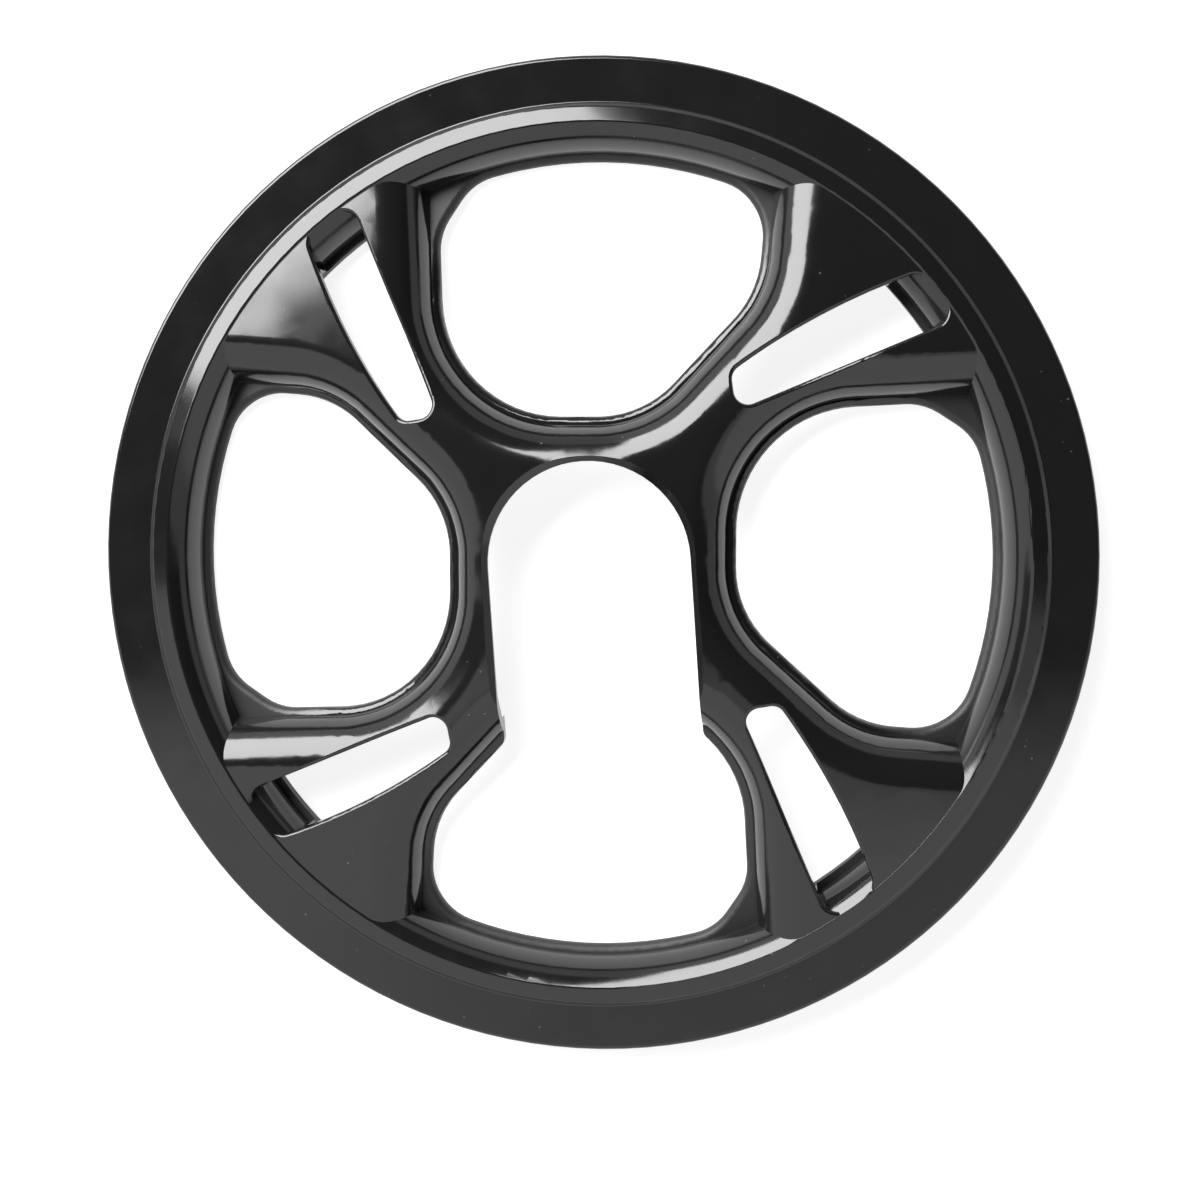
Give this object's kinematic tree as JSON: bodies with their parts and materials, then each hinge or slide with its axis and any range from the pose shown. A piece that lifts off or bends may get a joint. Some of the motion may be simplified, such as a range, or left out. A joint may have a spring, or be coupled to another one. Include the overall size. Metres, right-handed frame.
{
  "type": "bicycle chain guard",
  "caption": "Round dished chain guard with a flat outer flange, slotted spokes and a keyhole opening for the crank, moulded in one piece.",
  "frame": {"origin": "on the disc's axis, in the plane of its back, on which it lies", "axes": "+Z along the axis, out of the front; -Y down the neck of the crank opening"},
  "size_m": [0.182, 0.182, 0.0146],
  "materials": {
    "black_plastic": "gloss, as moulded"
  },
  "bodies": {
    "root": {"chain_guard": "black_plastic"}
  },
  "joints": []
}
